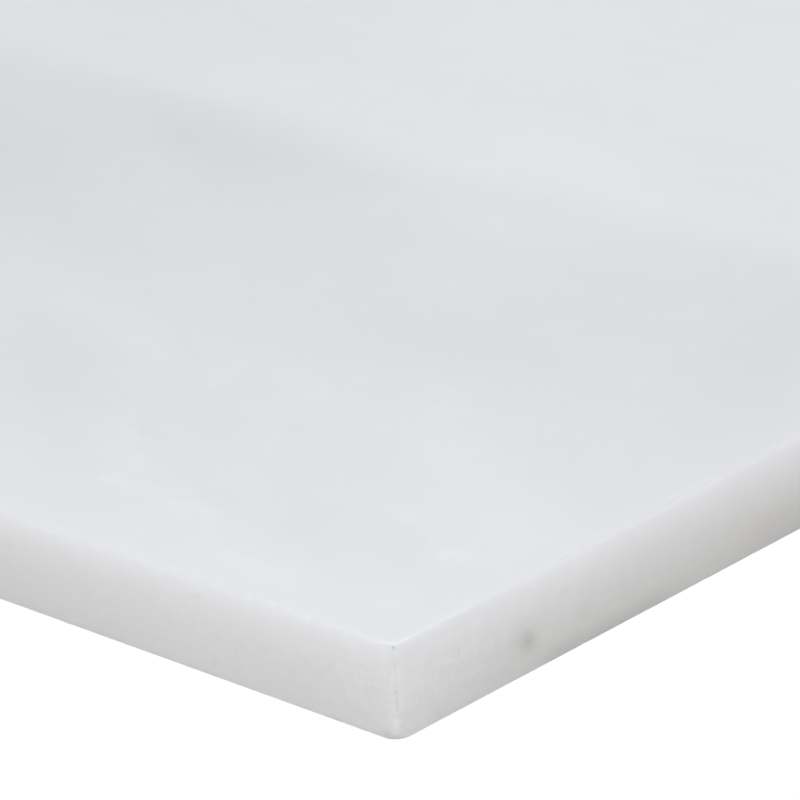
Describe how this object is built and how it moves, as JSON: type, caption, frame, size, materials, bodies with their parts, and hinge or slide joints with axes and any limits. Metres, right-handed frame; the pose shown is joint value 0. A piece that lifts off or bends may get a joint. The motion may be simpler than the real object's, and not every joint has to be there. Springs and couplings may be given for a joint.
{
  "type": "marble subway tile",
  "caption": "Large-format rectangular marble wall tile: cool white stone with soft grey veining, polished face with a fine ground arris, plain sawn edges and flat sawn back.",
  "frame": {"origin": "centre of the flat back face", "axes": "+X along the length, +Y across the width, +Z out through the polished face; lying on its back, polished face up"},
  "size_m": [0.3048, 0.1524, 0.0095],
  "materials": {
    "marble": "polished face, fine sawn edges and back"
  },
  "bodies": {
    "root": {"marble_tile": "marble"}
  },
  "joints": []
}
